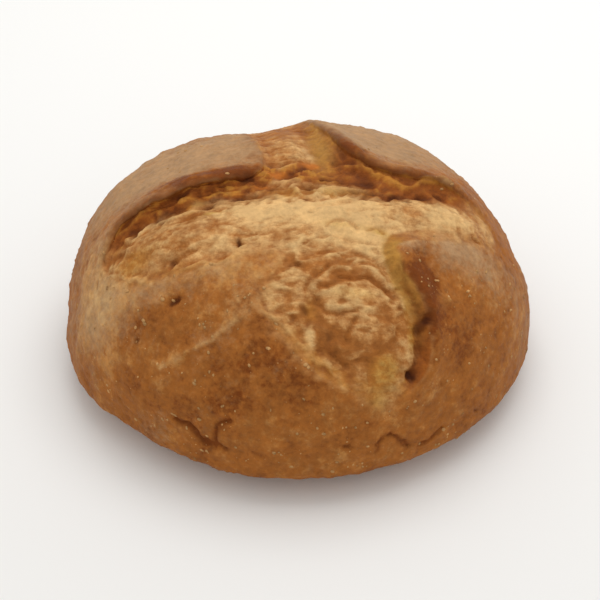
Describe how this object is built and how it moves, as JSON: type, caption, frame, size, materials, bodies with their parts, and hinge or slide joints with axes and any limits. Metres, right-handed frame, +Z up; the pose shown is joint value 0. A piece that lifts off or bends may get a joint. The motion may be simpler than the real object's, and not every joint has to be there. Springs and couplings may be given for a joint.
{
  "type": "sourdough loaf",
  "caption": "Round free-standing sourdough loaf scored with a cross, with lifted crust lips around the burst dough and a flat sole that it rests on.",
  "frame": {"origin": "middle of the footprint, on the sole that the loaf rests on", "axes": "+Z up through the crown, the loaf's shortest extent; +X to the loaf's right, along its longest extent; +Y to its back, away from the side with the round pocket of burst dough"},
  "size_m": [0.2496, 0.2298, 0.119],
  "materials": {
    "crust": "matt golden-brown baked crust with a faint egg-shell sheen on the petals and a dry, floury bloom on the dough that burst through the cross"
  },
  "bodies": {
    "root": {"loaf": "crust"}
  },
  "joints": []
}
